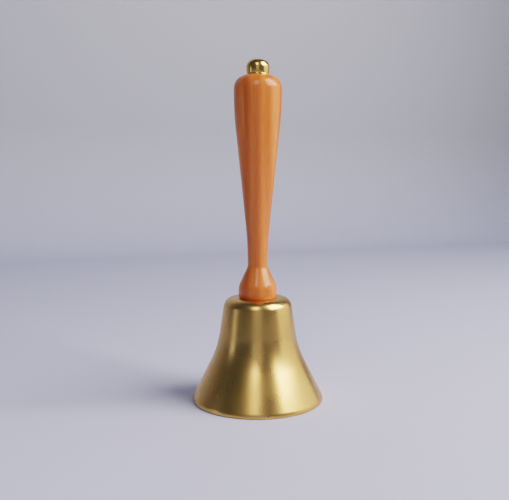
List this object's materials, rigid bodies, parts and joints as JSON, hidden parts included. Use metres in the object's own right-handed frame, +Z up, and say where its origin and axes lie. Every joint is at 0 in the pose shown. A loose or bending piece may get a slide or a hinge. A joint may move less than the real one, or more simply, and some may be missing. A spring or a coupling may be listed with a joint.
{
  "type": "hand bell",
  "caption": "Hand bell with a flared metal bell, a turned wooden handle and a domed cap; a ball clapper hangs inside on a swivel.",
  "frame": {"origin": "centre of the bell's mouth, on the plane it stands on", "axes": "+Z up the handle; the clapper's hook swings about X at rest"},
  "size_m": [0.0778, 0.0778, 0.1994],
  "materials": {
    "satin_brass": "cast brass, turned and satin polished, lightly toned",
    "polished_brass": "turned brass, buffed bright",
    "turned_brass": "turned brass, unpolished",
    "varnished_wood": "close-grained hardwood, orange-brown stain under gloss varnish",
    "zinc_steel": "bright zinc plated",
    "spring_steel": "blackened spring steel",
    "steel_wire": "drawn steel wire"
  },
  "bodies": {
    "root": {"bell_shell": "satin_brass", "wooden_handle": "varnished_wood", "cap_nut": "polished_brass", "cap_washer": "polished_brass", "tie_rod": "zinc_steel", "crown_washer": "zinc_steel", "lock_washer": "spring_steel", "crown_nut": "zinc_steel", "swivel_nut": "turned_brass"},
    "hanger": {"swivel_eye": "steel_wire"},
    "clapper": {"clapper_rod": "steel_wire", "clapper_ball": "turned_brass"}
  },
  "joints": [
    {"name": "hanger_swivel", "type": "hinge", "parent": "root", "child": "hanger", "pos_m": [0, 0, 0.0456], "axis": [0, 0, 1], "continuous": true},
    {"name": "clapper_swing", "type": "hinge", "parent": "hanger", "child": "clapper", "pos_m": [0, 0, 0.0381], "axis": [1, 0, 0], "range_deg": [-45.4, 45.4]}
  ]
}
